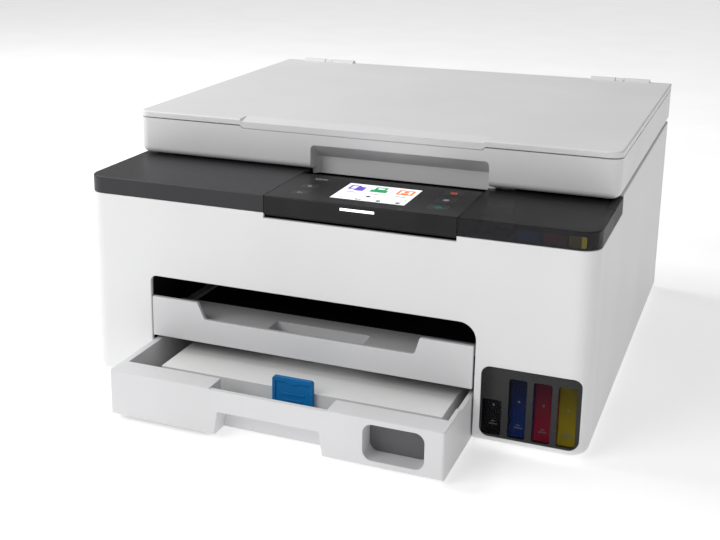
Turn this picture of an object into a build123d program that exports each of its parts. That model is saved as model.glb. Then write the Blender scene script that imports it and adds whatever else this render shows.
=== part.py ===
from build123d import *
import os
from math import cos, pi, sin

# Flatbed inkjet printer with refillable tanks, millimetres, +Z up.
# +X is to the right seen from the front, and the front face looks to -Y.
# While it is drawn, Y is measured from the middle of the body. Each part is then
# moved by ORIGIN_SHIFT, so that the origin is the middle of the whole footprint,
# with the cassette standing out of the front.

# ---- driving dimensions ---------------------------------------------------
HALF_W = 187.0          # half of the body's width
FRONT = -190.0          # front face
BACK = 190.0            # back face
FOOT_H = 3.5            # height of the rubber feet
WALL = 2.5              # thickness of the outer covers
CORNER_R = 13.0         # upright corners of the body
BOTTOM_R = 5.0          # lower edge of the body
SEAM = 0.2              # half of the gap between two covers
RIM = 9.0               # inward flange along the covers' lower edge

BAND_Z = 145.9          # lower edge of the dark deck plates
DECK_Z = 158.1          # top of the dark deck plates
DECK_WALL = 2.4
SIDE_TOP = 159.2        # top of the white side covers behind the deck plates
STEP_Y = -93.4          # where the side covers step up
SIDE_SEAM_Y = -159.0    # seam between the front cover and the side covers
REAR_SEAM_Y = 168.0     # seam between the side covers and the rear cover
PANEL_SILL_Z = 141.8    # top of the front cover under the operation panel

OPEN_X = (-135.1, 111.4)        # front opening for the trays
OPEN_TOP = 86.7
OPEN_R = (4.5, 12.0)            # its upper left and upper right corners
LIP = 2.0                       # thickness of the opening's inner frame
LIP_DEPTH = 3.0

WINDOW_X = (116.3, 181.9)       # ink level window
WINDOW_Z = (8.6, 58.5)
SLOT_BOTTOM = 10.2
# left, right and top of each tank's slot in the window
SLOTS = ((117.6, 130.6, 35.4), (135.2, 146.9, 52.2), (151.3, 163.4, 52.2), (167.4, 179.5, 52.2))

PANEL_X = (-42.6, 95.4)         # operation panel
PANEL_BACK = -119.8
PANEL_Z = 143.2
PANEL_PIVOT = (-184.5, 148.5)   # y, z
SEAT_Z = 156.9                  # where the screen and the buttons sit

INK_COVER_X = 95.8              # left edge of the smoked cover
INK_COVER_SIDE = -129.9         # back end of its side wall
INK_COVER_BACK = -108.0
INK_PIVOT = (-120.0, 152.8)
INK_SWING_R = 10.5              # round the pivot, between the cover and the deck at the side
INK_EARS = ((96.2, 98.0), (181.5, 184.2))

SCAN_FRONT = -114.0
SCAN_Z = 159.8
SCAN_TOP = 188.1
SCAN_PIVOT = (182.0, 168.0)
RECESS_X = (-39.0, 96.8)        # hand recess in the scanner's front
RECESS_TOP = 178.5              # at the front face
RECESS_FOLD = (-100.0, 167.5)   # y, z of the fold where its back wall starts
RECESS_SKIRT_Z = 154.4          # lower edge of that back wall, behind the panel
GLASS_X = 150.0
GLASS_Y = (-75.0, 143.0)

LID_Z = 188.9
LIP_X = (-95.0, 91.0)           # lip and scoop at the middle of the lid's front edge
LIP_Z = 186.6
SCOOP = (14.0, 1.9)             # depth along Y and height at the front edge
LID_TOP = 193.4
LID_PIVOT = (184.2, 191.15)
HUMP_X = (116.0, 168.0)         # lid hinges
HUMP_R = 4.6

TRAY_OUT = 63.2                 # how far the cassette stands out at rest
CASSETTE_X = (-133.7, 110.2)
CASSETTE_Z = (3.2, 36.9)
CASSETTE_FRONT = FRONT - TRAY_OUT
ORIGIN_SHIFT = TRAY_OUT / 2
CASSETTE_BACK = 84.0
PAPER_W, PAPER_L = 210.0, 297.0
PAPER_X = -7.0
PAPER_Z = (6.2, 29.5)
PAPER_FRONT = -217.5

FRAME_X = (-139.0, 112.4)       # outer left and inner right of the frame walls
FRAME_WALL = 3.0
FRAME_TOP = 101.0
FRAME_FRONT = -186.8
SCREEN_Y = -124.0               # screen across the mouth, over the tray's floor
# y, z outline of the sloping roof above the output tray
CEILING = ((FRAME_FRONT, 88.2), (FRAME_FRONT, 90.7), (-78.0, 106.5), (-78.0, 104.0))
ROLLER_Z = 94.0
FEED_Y, IDLER_Y, EJECT_Y = 8.0, -27.0, -62.0
GEAR_X = (-150.0, -144.0)
RUN = 0.05                      # radial clearance of a running fit

LEFT_WALL_X = (FRAME_X[0], FRAME_X[0] + FRAME_WALL)
RIGHT_WALL_X = (FRAME_X[1], FRAME_X[1] + FRAME_WALL)

REAR_DOOR_X = (-122.0, 98.0)
REAR_DOOR_Z = (30.0, 108.0)
DOOR_PIVOT = (BACK - 1.8, REAR_DOOR_Z[0] + 1.8)
INLET_BOX = (-172.0, -148.0, 22.0, 38.0)
USB_BOX = (160.0, 173.0, 60.0, 71.5)

SCREW_SPOTS = ((-147.0, -100.0), (-147.0, 20.0), (-147.0, 140.0),
               (121.0, 0.0), (121.0, 70.0), (121.0, 140.0))
FOOT_SPOTS = ((-160.0, -160.0), (150.0, -160.0), (-160.0, 160.0), (150.0, 160.0))

LCD_X = (0.5, 55.3)
LCD_Y = (-176.3, -133.2)
LED_X = (14.0, 38.6)
LED_Z = (153.6, 155.4)
# centre x, centre y, width, depth of each button
BUTTONS = {
    "button_power": (-22.7, -133.6, 13.0, 12.0),
    "button_back": (-22.7, -153.6, 13.0, 12.0),
    "button_home": (-22.7, -172.4, 13.0, 12.0),
    "button_stop": (77.3, -132.0, 15.0, 13.0),
    "button_black_start": (77.3, -152.0, 15.0, 13.0),
    "button_colour_start": (77.3, -171.6, 15.0, 13.0),
}
BUTTON_GAP = 0.15               # around each button

TANKS = {
    "black": (116.2, 133.0, -62.0),
    "blue": (133.6, 149.0, -104.0),
    "magenta": (149.6, 165.0, -104.0),
    "yellow": (165.6, 181.0, -104.0),
}
TANK_FRONT = -184.0
TANK_TOP = 108.0
PORT_Y = -164.0
PORT_Z = 114.0
CAP_PIVOT = (-136.0, 116.5)

TRAY_X = (-134.4, 110.0)
TRAY_FLOOR_Z = (50.5, 55.5)     # grey floor of the tray's front stage
TRAY_FLOOR_BACK = -148.0
GRIP_X = (-44.0, 29.0)          # finger recess in that floor
GRIP_Y = (-183.0, -164.0)
GRIP_Z = 45.7

CARRIAGE_X = (100.0, 168.0)
PULLEY_X = 163.0
BELT_Z = 133.0
PULLEY_R = 6.0
BELT_Y = (31.0, 37.0)

PICK_PIVOT = (36.0, 66.0)
PICK_ROLLER = (92.0, 43.0)
PICK_R = 12.0

# the pinion meshes with the feed gear in the direction of one of its teeth
PINION_TEETH = 16
MESH_ANGLE = -7 * 2 * pi / 40
MESH_DISTANCE = 20.0 + PINION_TEETH / 2
MOTOR_SPOT = (FEED_Y + MESH_DISTANCE * cos(MESH_ANGLE),
              ROLLER_Z + MESH_DISTANCE * sin(MESH_ANGLE))
SUPPLY_X = (-183.8, -154.2)


# ---- helpers --------------------------------------------------------------
def block(x0, x1, y0, y1, z0, z1):
    centre = Pos((x0 + x1) / 2, (y0 + y1) / 2, (z0 + z1) / 2)
    return centre * Box(abs(x1 - x0), abs(y1 - y0), abs(z1 - z0))


def rod_x(r, x0, x1, y, z):
    return Pos((x0 + x1) / 2, y, z) * Rot(0, 90, 0) * Cylinder(r, abs(x1 - x0))


def rod_y(r, y0, y1, x, z):
    return Pos(x, (y0 + y1) / 2, z) * Rot(90, 0, 0) * Cylinder(r, abs(y1 - y0))


def rod_z(r, z0, z1, x, y):
    return Pos(x, y, (z0 + z1) / 2) * Cylinder(r, abs(z1 - z0))


def rounded(shape, axis, r):
    return fillet(shape.edges().filter_by(axis), r)


def prism_x(points, x0, x1):
    """A solid with a y, z outline, running along X."""
    face = make_face(Polyline(*[(x0, y, z) for y, z in points], close=True))
    return extrude(face, amount=x1 - x0, dir=(1, 0, 0))


def prism_y(points, y0, y1):
    """A solid with an x, z outline, running along Y."""
    face = make_face(Polyline(*[(x, y0, z) for x, z in points], close=True))
    return extrude(face, amount=y1 - y0, dir=(0, 1, 0))


def save(shape, name):
    export_step(Pos(0, ORIGIN_SHIFT, 0) * shape, "parts/" + name + ".step")


def gear(teeth, thickness, bore, phase):
    """Module 1 spur gear about Z, centred, with a tooth at the phase angle."""
    pitch_r = teeth / 2
    root_r, tip_r = pitch_r - 1.25, pitch_r + 0.9
    step = 2 * pi / teeth
    points = []
    for i in range(teeth):
        mid = phase + i * step
        for r, part in ((root_r, -0.30), (tip_r, -0.11), (tip_r, 0.11), (root_r, 0.30)):
            a = mid + part * step
            points.append((r * cos(a), r * sin(a), -thickness / 2))
    body = extrude(make_face(Polyline(*points, close=True)), amount=thickness, dir=(0, 0, 1))
    return body - Cylinder(bore, thickness + 2)


def gear_on_x(teeth, x0, x1, y, z, bore, phase):
    """The same gear on an axle along X, its phase measured from +Y."""
    turned = Plane.YZ * gear(teeth, x1 - x0, bore, phase)
    return Pos((x0 + x1) / 2, y, z) * turned


# ---- outer covers ---------------------------------------------------------
def body_block(z0, z1):
    return rounded(block(-HALF_W, HALF_W, FRONT, BACK, z0, z1), Axis.Z, CORNER_R)


def body_core(offset, z0, z1):
    core = block(-HALF_W + offset, HALF_W - offset, FRONT + offset, BACK - offset, z0, z1)
    return rounded(core, Axis.Z, CORNER_R - offset)


def case_shell():
    """The whole white outer case before it is split at its seams."""
    outer = body_block(FOOT_H, SIDE_TOP)
    outer = fillet(outer.edges().group_by(Axis.Z)[0], BOTTOM_R)
    shell = outer - body_core(WALL, FOOT_H + WALL, SIDE_TOP + 1)
    shell -= body_core(RIM, 0, FOOT_H + WALL + 1)
    shell -= block(-200, 200, FRONT - 1, STEP_Y, BAND_Z - 2 * SEAM, SIDE_TOP + 1)
    return shell


def tray_opening(grow, y0, y1):
    cutter = block(OPEN_X[0] - grow, OPEN_X[1] + grow, y0, y1, -1, OPEN_TOP + grow)
    top = cutter.edges().filter_by(Axis.Y).sort_by(Axis.Z)[-2:].sort_by(Axis.X)
    cutter = fillet(top[0], OPEN_R[0] + grow)
    top = cutter.edges().filter_by(Axis.Y).sort_by(Axis.X)[-3:].sort_by(Axis.Z)
    return fillet(top[-1], OPEN_R[1] + grow)


def window_block(grow):
    x0, x1 = WINDOW_X[0] - grow, WINDOW_X[1] + grow
    z0, z1 = WINDOW_Z[0] - grow, WINDOW_Z[1] + grow
    return rounded(block(x0, x1, FRONT - 1, FRONT + 12, z0, z1), Axis.Y, 6 + grow)


def make_front_cover(shell):
    cover = shell & block(-200, 200, FRONT - 1, SIDE_SEAM_Y - SEAM, 0, SIDE_TOP)
    frame = tray_opening(LIP, FRONT + 1, FRONT + LIP_DEPTH)
    frame &= block(-200, 200, FRONT, BACK, FOOT_H + 3, SIDE_TOP)
    cover = cover + frame - tray_opening(0, FRONT - 2, FRONT + CORNER_R)
    cover -= block(PANEL_X[0] - 0.3, PANEL_X[1] + 0.3, FRONT - 1, FRONT + 12, PANEL_SILL_Z, 160)
    cover -= window_block(0.2)
    rim = cover.edges().filter_by_position(Axis.Y, FRONT - 0.01, FRONT + 0.01)
    rim = rim.filter_by_position(Axis.X, OPEN_X[0] - 0.1, OPEN_X[1] + 0.1)
    return fillet(rim.filter_by_position(Axis.Z, BOTTOM_R + FOOT_H + 1, OPEN_TOP + 0.1), 0.8)


def make_side_covers(shell):
    zone = (SIDE_SEAM_Y + SEAM, REAR_SEAM_Y - SEAM, 0, SIDE_TOP + 1)
    left = shell & block(-200, -100, *zone)
    right = shell & block(100, 200, *zone)
    return left, right


def make_rear_cover(shell):
    cover = shell & block(-200, 200, REAR_SEAM_Y + SEAM, BACK + 1, 0, SIDE_TOP + 1)
    door_x, door_z = REAR_DOOR_X, REAR_DOOR_Z
    cover -= block(door_x[0] - 0.4, door_x[1] + 0.4, BACK - 9, BACK + 1,
                   door_z[0] - 0.4, door_z[1] + 0.4)
    for x in door_x:
        side = 1 if x > 0 else -1
        ear = block(x + side * 0.6, x + side * 3.6, BACK - 6, BACK - WALL,
                    door_z[0] - 2, door_z[0] + 6)
        cover += ear + block(x + side * 0.6, x + side * 3.6, BACK - 3, BACK - 0.6,
                             door_z[0] - 2, door_z[0] + 6)
        cover -= rod_x(1.05 + RUN, x - 5, x + 5, DOOR_PIVOT[0], DOOR_PIVOT[1])
    x0, x1, z0, z1 = INLET_BOX
    cover -= block(x0 - 0.3, x1 + 0.3, BACK - 9, BACK + 1, z0 - 0.3, z1 + 0.3)
    x0, x1, z0, z1 = USB_BOX
    cover -= block(x0 - 0.3, x1 + 0.3, BACK - 9, BACK + 1, z0 - 0.3, z1 + 0.3)
    for i in range(9):
        z = 118 + 3.6 * i
        cover -= block(-60, 40, BACK - 5, BACK + 1, z, z + 1.6)
    return cover


def make_rear_access_cover():
    """Swings down at the back to clear jammed paper."""
    x0, x1 = REAR_DOOR_X
    z0, z1 = REAR_DOOR_Z
    door = block(x0, x1, BACK - WALL, BACK, z0, z1)
    door -= block(x0 - 1, x1 + 1, BACK - WALL - 1, BACK + 1, z0 - 1, DOOR_PIVOT[1])
    door += rod_x(1.8, x0, x1, DOOR_PIVOT[0], DOOR_PIVOT[1])
    door += rod_x(1.05, x0 - 2.6, x1 + 2.6, DOOR_PIVOT[0], DOOR_PIVOT[1])
    for i in range(7):
        x = x0 + 14 + i * (x1 - x0 - 28) / 6
        door += block(x - 1, x + 1, BACK - 8, BACK - WALL, z0 + 10, z1 - 6)
    grip = block(-32, 8, BACK - 1.2, BACK + 1, z1 - 14, z1 - 6)
    return door - grip


def make_bottom_case():
    plate = body_core(RIM + 0.3, FOOT_H + 0.3, FOOT_H + WALL)
    plate -= block(OPEN_X[0] - 1, OPEN_X[1] + 1, FRONT - 1, 152, 0, 10)
    for x, y in SCREW_SPOTS:
        plate -= rod_z(1.5, 0, 10, x, y)
        plate -= rod_z(3.2, 0, FOOT_H + 1.2, x, y)
    for x, y in FOOT_SPOTS:
        plate -= rod_z(4.0 + RUN, 0, 10, x, y)
    plate += block(120, 166, -48, -8, FOOT_H + WALL, 12)
    plate -= block(122, 164, -46, -10, FOOT_H + WALL, 13)
    for y in (52, 140):
        plate += block(-176, -156, y, y + 6, FOOT_H + WALL, 9)
    return plate


def make_rubber_feet():
    feet = None
    for x, y in FOOT_SPOTS:
        foot = rod_z(8.5, 0, FOOT_H + 0.3, x, y) + rod_z(4.0, FOOT_H, FOOT_H + WALL - 0.1, x, y)
        foot = fillet(foot.edges().group_by(Axis.Z)[0], 1.0)
        feet = foot if feet is None else feet + foot
    return feet


def make_case_screws():
    screws = None
    for x, y in SCREW_SPOTS:
        screw = rod_z(2.9, FOOT_H + 0.1, FOOT_H + 1.2, x, y)
        screw += rod_z(1.4, FOOT_H + 1.2, 12, x, y)
        screw -= block(x - 2, x + 2, y - 0.35, y + 0.35, 0, FOOT_H + 0.7)
        screw -= block(x - 0.35, x + 0.35, y - 2, y + 2, 0, FOOT_H + 0.7)
        screws = screw if screws is None else screws + screw
    return screws


# ---- deck plates, operation panel and ink cover ------------------------------
def deck_shell():
    outer = body_block(BAND_Z, DECK_Z)
    outer = fillet(outer.edges().group_by(Axis.Z)[-1], 1.0)
    return outer - body_core(DECK_WALL, BAND_Z - 1, DECK_Z - DECK_WALL)


def make_left_top_cover():
    return deck_shell() & block(-200, PANEL_X[0] - 0.4, FRONT - 1, -100, 140, 170)


def make_ink_tank_cover():
    shell = deck_shell()
    cover = shell & block(INK_COVER_X, 200, FRONT - 1, INK_COVER_SIDE, 140, 170)
    cover += shell & block(INK_COVER_X, 180.8, INK_COVER_SIDE - 1, INK_COVER_BACK, 154, 170)
    y, z = INK_PIVOT
    for x in (101.0, 174.0):
        cover += block(x, x + 4, y - 4, y + 4, z, DECK_Z - 1)
        cover += rod_x(4, x, x + 4, y, z)
    cover += rod_x(1.5, INK_EARS[0][0], 101.5, y, z)
    cover += rod_x(1.5, 177.5, INK_EARS[1][1], y, z)
    return cover - rod_x(INK_SWING_R, 184.3, 200, y, z)


def panel_outline():
    y, z = FRONT, PANEL_Z
    body = block(PANEL_X[0], PANEL_X[1], y, PANEL_BACK, z, DECK_Z)
    low = body.edges().filter_by(Axis.X).sort_by(Axis.Z)[:2].sort_by(Axis.Y)[0]
    body = fillet(low, 3.0)
    top = body.edges().filter_by(Axis.X).sort_by(Axis.Z)[-2:]
    return fillet(top, 1.2)


def make_operation_panel():
    panel = panel_outline()
    x0, x1 = PANEL_X
    panel -= block(x0 + 2.4, x1 - 2.4, FRONT + 8, PANEL_BACK - 2.4, PANEL_Z - 1, SEAT_Z - 2.4)
    panel -= block(LCD_X[0], LCD_X[1], LCD_Y[0], LCD_Y[1], SEAT_Z - 4, DECK_Z + 1)
    for spot in BUTTONS.values():
        panel -= button_pad(spot, BUTTON_GAP, SEAT_Z - 6, DECK_Z + 1)
    panel -= block(LED_X[0], LED_X[1], FRONT - 1, FRONT + 9, LED_Z[0], LED_Z[1])
    y, z = PANEL_PIVOT
    for x, side in ((x0, -1), (x1, 1)):
        panel += rod_x(1.6, x, x + side * 3.2, y, z)
    return panel


def button_pad(spot, grow, z0, z1):
    x, y, w, d = spot
    pad = block(x - w / 2 - grow, x + w / 2 + grow, y - d / 2 - grow, y + d / 2 + grow, z0, z1)
    return rounded(pad, Axis.Z, 3.0 + grow)


def make_button(spot):
    x, y = spot[0], spot[1]
    return button_pad(spot, 0, SEAT_Z - 1.6, DECK_Z) + rod_z(2.0, SEAT_Z - 5, SEAT_Z - 1, x, y)


def make_lcd_screen():
    c = 0.15
    screen = block(LCD_X[0] + c, LCD_X[1] - c, LCD_Y[0] + c, LCD_Y[1] - c, SEAT_Z - 3.6, DECK_Z - 0.1)
    return rounded(screen, Axis.Z, 0.6)


def make_status_light_bar():
    c = 0.05
    return block(LED_X[0] + c, LED_X[1] - c, FRONT + 0.1, FRONT + 8.0, LED_Z[0] + c, LED_Z[1] - c)


def make_top_deck():
    """Black inner deck under the scanner, open over the carriage."""
    x = HALF_W - WALL - 0.3
    deck = block(-x, x, -103.6, BACK - WALL - 0.3, 150, 153)
    deck -= block(-172, 176, -88, 62, 149, 154)
    deck -= rounded(block(-230, 230, 100, 230, 140, 160), Axis.Z, 1) - body_core(
        WALL + 0.3, 140, 160)
    well_x = (PANEL_X[0] - 7, PANEL_X[1] - 0.2)
    deck += block(well_x[0], PANEL_X[1] + 2.6, FRONT + 6, -118.5, 139, 141)
    deck += block(well_x[0], well_x[1], -118.6, -116, 139, 153)
    deck += block(well_x[0], well_x[1], -118, -103, 150, 153)
    y, z = PANEL_PIVOT
    for x0, x1 in ((PANEL_X[0] - 3.6, PANEL_X[0] - 0.6), (PANEL_X[1] + 0.6, PANEL_X[1] + 2.6)):
        deck += block(x0, x1, y - 0.5, y + 6, 140, z + 2.6)
        deck += rod_x(2.6, x0, x1, y, z)
        deck -= rod_x(1.6 + RUN, x0 - 1, x1 + 1, y, z)
    shell = deck_shell()
    y, z = INK_PIVOT
    swing = rod_x(INK_SWING_R - 0.35, 180, 200, y, z) + block(180, 200, y, STEP_Y - 0.3, 140, 170)
    deck += shell & swing & block(181.2, 200, -140, 0, 140, 170)
    deck += block(181.4, 186, -105, -94, 150, 153)
    deck += block(*INK_EARS[0], y - 2.4, y + 1.5, 139, z)
    deck += block(INK_EARS[1][0], 185.5, y - 2, y + 1.5, 149, z)
    for x0, x1 in INK_EARS:
        deck += rod_x(2.6, x0, x1, y, z)
        deck -= rod_x(1.5 + RUN, x0 - 1, x1 + 0.2, y, z)
    y, z = SCAN_PIVOT
    for side in (-1, 1):
        x0, x1 = sorted((side * 150.0, side * 156.0))
        deck += block(x0, x1, y - 6, y + 4, 152, z) + rod_x(6, x0, x1, y, z)
        deck -= rod_x(3.0 + RUN, x0 - 1, x1 + 1, y, z)
    return deck


# ---- ink window, tanks and caps ------------------------------------------------
def make_ink_window():
    pane = body_block(0, 70) - body_core(WALL, -1, 71)
    pane &= window_block(0)
    for x0, x1, top in SLOTS:
        slot = block(x0, x1, FRONT - 2, FRONT + 14, SLOT_BOTTOM, top)
        pane -= rounded(slot, Axis.Y, 1.5)
    return pane


def make_tank(spot):
    """Clear ink tank with a filling port and two ears for its cap."""
    x0, x1, y1 = spot
    xc = (x0 + x1) / 2
    tank = block(x0, x1, TANK_FRONT, y1, FOOT_H + WALL, TANK_TOP)
    tank += rod_z(6.4, TANK_TOP, PORT_Z, xc, PORT_Y)
    y, z = CAP_PIVOT
    for side in (-1, 1):
        a, b = sorted((xc + side * 4.4, xc + side * 6.4))
        tank += block(a, b, y - 2.6, y + 2.6, TANK_TOP, z) + rod_x(2.6, a, b, y, z)
    tank -= rod_x(1.3 + RUN, xc - 8, xc + 8, y, z)
    tank -= block(x0 + 1.4, x1 - 1.4, TANK_FRONT + 1.4, y1 - 1.4, FOOT_H + WALL + 1.6, TANK_TOP - 1.6)
    return tank - rod_z(5.0, TANK_TOP - 3, PORT_Z + 1, xc, PORT_Y)


def make_tank_cap(spot):
    """Coloured lever that presses a plug into the filling port."""
    xc = (spot[0] + spot[1]) / 2
    y, z = CAP_PIVOT
    cap = block(xc - 6.2, xc + 6.2, PORT_Y - 10, PORT_Y + 9, PORT_Z + 1, PORT_Z + 4.5)
    cap += block(xc - 3.9, xc + 3.9, PORT_Y, y, PORT_Z + 1, PORT_Z + 4.5)
    cap += rod_x(2.2, xc - 3.9, xc + 3.9, y, z)
    cap += rod_x(1.3, xc - 6.3, xc + 6.3, y, z)
    return cap + rod_z(4.1, PORT_Z - 2, PORT_Z + 2, xc, PORT_Y)


# ---- scanner unit and lid ---------------------------------------------------------
def recess_block(grow):
    """The hand recess: a ceiling that slopes down to a fold, and an upright back."""
    y, z = RECESS_FOLD
    slope = (RECESS_TOP - z) / (y - SCAN_FRONT)
    front = SCAN_FRONT - 4
    low = RECESS_SKIRT_Z - 1
    points = ((front, low), (front, z + slope * (y - front) + grow), (y + grow, z + grow), (y + grow, low))
    solid = prism_x(points, RECESS_X[0] - grow, RECESS_X[1] + grow)
    sides = solid.edges().filter_by(lambda e: abs(e.tangent_at(0.5).X) < 0.01 and e.center().Y > front + 1)
    return fillet(sides.filter_by(lambda e: e.center().Z > low + 1), 3.0 + grow)


def scanner_outer():
    outer = block(-HALF_W, HALF_W, SCAN_FRONT, BACK, SCAN_Z, SCAN_TOP)
    outer = rounded(outer, Axis.Z, 9.0)
    outer = fillet(outer.edges().group_by(Axis.Z)[0], 5.0)
    y, z = SCAN_PIVOT
    corner = block(-200, 200, y, BACK + 1, SCAN_Z - 1, z)
    return outer - (corner - rod_x(8.0, -200, 200, y, z))


def lip_outline(grow):
    """The lid's front lip, x and z, with sloping ends."""
    x0, x1 = LIP_X
    z = LIP_Z - grow
    return ((x0 - 3.3 - grow, LID_Z + 0.5), (x0 - grow, z), (x1 + grow, z), (x1 + 3.3 + grow, LID_Z + 0.5))


def make_scanner_base():
    outer = scanner_outer()
    inner = block(-HALF_W + 2.5, HALF_W - 2.5, SCAN_FRONT + 2.5, BACK - 2.5, SCAN_Z + 2.5, SCAN_TOP + 1)
    inner = rounded(inner, Axis.Z, 6.5)
    inner = fillet(inner.edges().group_by(Axis.Z)[0], 5.0)
    y, z = SCAN_PIVOT
    inner -= block(-200, 200, y - 3, BACK + 1, SCAN_Z - 1, z)
    base = outer - inner
    skirt = block(RECESS_X[0] - 2.5, RECESS_X[1] + 2.5, RECESS_FOLD[0] - 3, RECESS_FOLD[0] + 2.5,
                  RECESS_SKIRT_Z, SCAN_Z + 6)
    base += recess_block(2.5) & (outer + skirt)
    base -= recess_block(0)
    base -= prism_y(lip_outline(0.3), SCAN_FRONT - 1, SCAN_FRONT + 3)
    base += block(-178, 178, 31, 37, SCAN_Z + 2, 167) - block(-179, 179, 32.5, 35.5, 165, 168)
    for side in (-1, 1):
        a, b = sorted((side * 149.0, side * 157.0))
        base -= block(a, b, y - 11, BACK + 1, SCAN_Z - 1, z + 7)
        a, b = sorted((side * 157.0, side * 163.0))
        base += block(a, b, y - 6, BACK - 1, SCAN_Z + 2, z + 6)
        a, b = sorted((side * 150.4, side * 158.0))
        base += rod_x(3.0, a, b, y, z)
    return add_lid_ears(base)


def add_lid_ears(base):
    y, z = LID_PIVOT
    for side in (-1, 1):
        a, b = sorted((side * (HUMP_X[0] - 0.6), side * (HUMP_X[1] + 0.6)))
        base -= block(a, b, y - 5.2, BACK + 1, z - 5.2, z + 6)
        a, b = sorted((side * 138.4, side * 145.6))
        base += block(a, b, y - 4.4, y + 4.4, SCAN_Z + 14, z) + rod_x(4.4, a, b, y, z)
        a, b = sorted((side * 132.0, side * 152.0))
        base += rod_x(1.8, a, b, y, z)
    return base


def make_scanner_bezel():
    bezel = block(-HALF_W + 2.8, HALF_W - 2.8, SCAN_FRONT + 2.8, 177.5, 183.7, 186.2)
    bezel = rounded(bezel, Axis.Z, 6.0)
    bezel -= block(-GLASS_X, GLASS_X, GLASS_Y[0], GLASS_Y[1], 180, 190)
    for x in (-178, 178):
        bezel += block(x - 4, x + 4, -90, 160, 168, 184)
    return bezel


def make_scanner_glass():
    return block(-GLASS_X - 5, GLASS_X + 5, GLASS_Y[0] - 5, GLASS_Y[1] + 5, 180.7, 183.7)


def make_scan_bar():
    """Contact image sensor that runs under the glass."""
    bar = block(-150, -132, GLASS_Y[0] + 1, GLASS_Y[1] - 1, 170, 180.2)
    bar += block(-148, -134, 33, 35, 166, 170.5)
    return bar - block(-143, -139, GLASS_Y[0] + 6, GLASS_Y[1] - 6, 179, 181)


def make_document_lid():
    y, z = LID_PIVOT
    lid = block(-HALF_W, HALF_W, SCAN_FRONT, y, LID_Z, LID_TOP)
    lid = fillet(lid.edges().filter_by(Axis.Z).group_by(Axis.Y)[0], 9.0)
    lid = fillet(lid.edges().group_by(Axis.Z)[-1].sort_by(Axis.Y)[:-1], 1.2)
    lid += rod_x((LID_TOP - LID_Z) / 2, -HALF_W + 1, HALF_W - 1, y, z)
    lid += prism_y(lip_outline(0), SCAN_FRONT, SCAN_FRONT + 2.4)
    run, drop = SCOOP
    wedge = prism_x(((SCAN_FRONT - 2, LID_TOP - drop - 0.27), (SCAN_FRONT + run, LID_TOP),
                     (SCAN_FRONT + run, LID_TOP + 1), (SCAN_FRONT - 2, LID_TOP + 1)), -120, 120)
    ends = ((LIP_X[0] - 4, LID_TOP + 1.1), (LIP_X[0], LID_TOP - 3), (LIP_X[1], LID_TOP - 3),
            (LIP_X[1] + 4, LID_TOP + 1.1))
    lid -= wedge & prism_y(ends, SCAN_FRONT - 3, SCAN_FRONT + run + 1)
    for side in (-1, 1):
        a, b = sorted((side * HUMP_X[0], side * HUMP_X[1]))
        lid += rod_x(HUMP_R, a, b, y, z)
        a, b = sorted((side * 138.0, side * 146.0))
        lid -= block(a, b, y - 5.5, y + 6, LID_Z - 3, LID_TOP + 4)
        a, b = sorted((side * 131.5, side * 152.5))
        lid -= rod_x(1.8 + RUN, a, b, y, z)
    return lid


def make_lid_pad():
    return block(-148, 148, GLASS_Y[0] + 2, GLASS_Y[1] - 2, 186.5, LID_Z)


# ---- frame and print mechanism ---------------------------------------------------
def make_main_frame():
    """Black chassis with two walls that carry the rollers."""
    frame = None
    for x0, x1 in (LEFT_WALL_X, RIGHT_WALL_X):
        wall = block(x0, x1, FRAME_FRONT, 156, 6.6, FRAME_TOP)
        frame = wall if frame is None else frame + wall
    x0, x1 = LEFT_WALL_X[0], RIGHT_WALL_X[1]
    frame += prism_x(CEILING, x0, x1)
    frame += block(x0, x1, SCREEN_Y, SCREEN_Y + 2, 60, 90)
    frame += block(x0, x1, 153, 156, 6.6, FRAME_TOP)
    frame += block(x0, x1, 34, 44, 91, 95)
    frame += block(LEFT_WALL_X[1] - 1, LEFT_WALL_X[1] + 5, -172, 0, 45.5, 47.5)
    frame += block(RIGHT_WALL_X[0] - 5, RIGHT_WALL_X[0] + 1, -172, 0, 45.5, 47.5)
    for x, y in SCREW_SPOTS:
        a, b = (-152, -138) if x < 0 else (114, 126)
        frame += block(a, b, y - 6, y + 6, FOOT_H + WALL, 14)
        frame -= rod_z(1.4, 0, 12, x, y)
    for y, r in ((FEED_Y, 4.0), (EJECT_Y, 3.0)):
        frame -= rod_x(r + RUN, x0 - 1, x1 + 1, y, ROLLER_Z)
    frame += rod_x(3.0, GEAR_X[0], LEFT_WALL_X[0] + 1, IDLER_Y, ROLLER_Z)
    frame -= rod_x(3.0 + RUN, x0 - 1, x1 + 1, PICK_PIVOT[0], PICK_PIVOT[1])
    return frame + rear_guides()


def rear_guides():
    """Ribs that turn the paper upwards behind the cassette."""
    ribs = None
    for i in range(7):
        x = LEFT_WALL_X[1] + 16 + i * 36
        rib = prism_x(((154, 40), (154, 92), (146, 92), (150, 66), (150, 40)), x, x + 2.5)
        ribs = rib if ribs is None else ribs + rib
    return ribs


def make_pickup_arm():
    y0, z0 = PICK_PIVOT
    y1, z1 = PICK_ROLLER
    arm = rod_x(3.0, LEFT_WALL_X[0] + 0.4, RIGHT_WALL_X[1] - 0.4, y0, z0)
    for x in (-28.0, 10.0):
        arm += prism_x(((y0, z0 - 5), (y1, z1 - 4), (y1 + 5, z1), (y1, z1 + 6), (y0, z0 + 6)), x, x + 4)
        arm += rod_x(6.0, x, x + 4, y0, z0)
    arm += block(-24.5, 10.5, 50, 62, 58, 61)
    return arm + rod_x(2.5, -28, 14, y1, z1)


def make_pickup_roller():
    y, z = PICK_ROLLER
    roller = rod_x(PICK_R, -23, -8.5, y, z) + rod_x(PICK_R, -5.5, 9, y, z)
    roller += rod_x(7.0, -9, -5, y, z)
    return roller - rod_x(2.5 + RUN, -30, 20, y, z)


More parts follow.
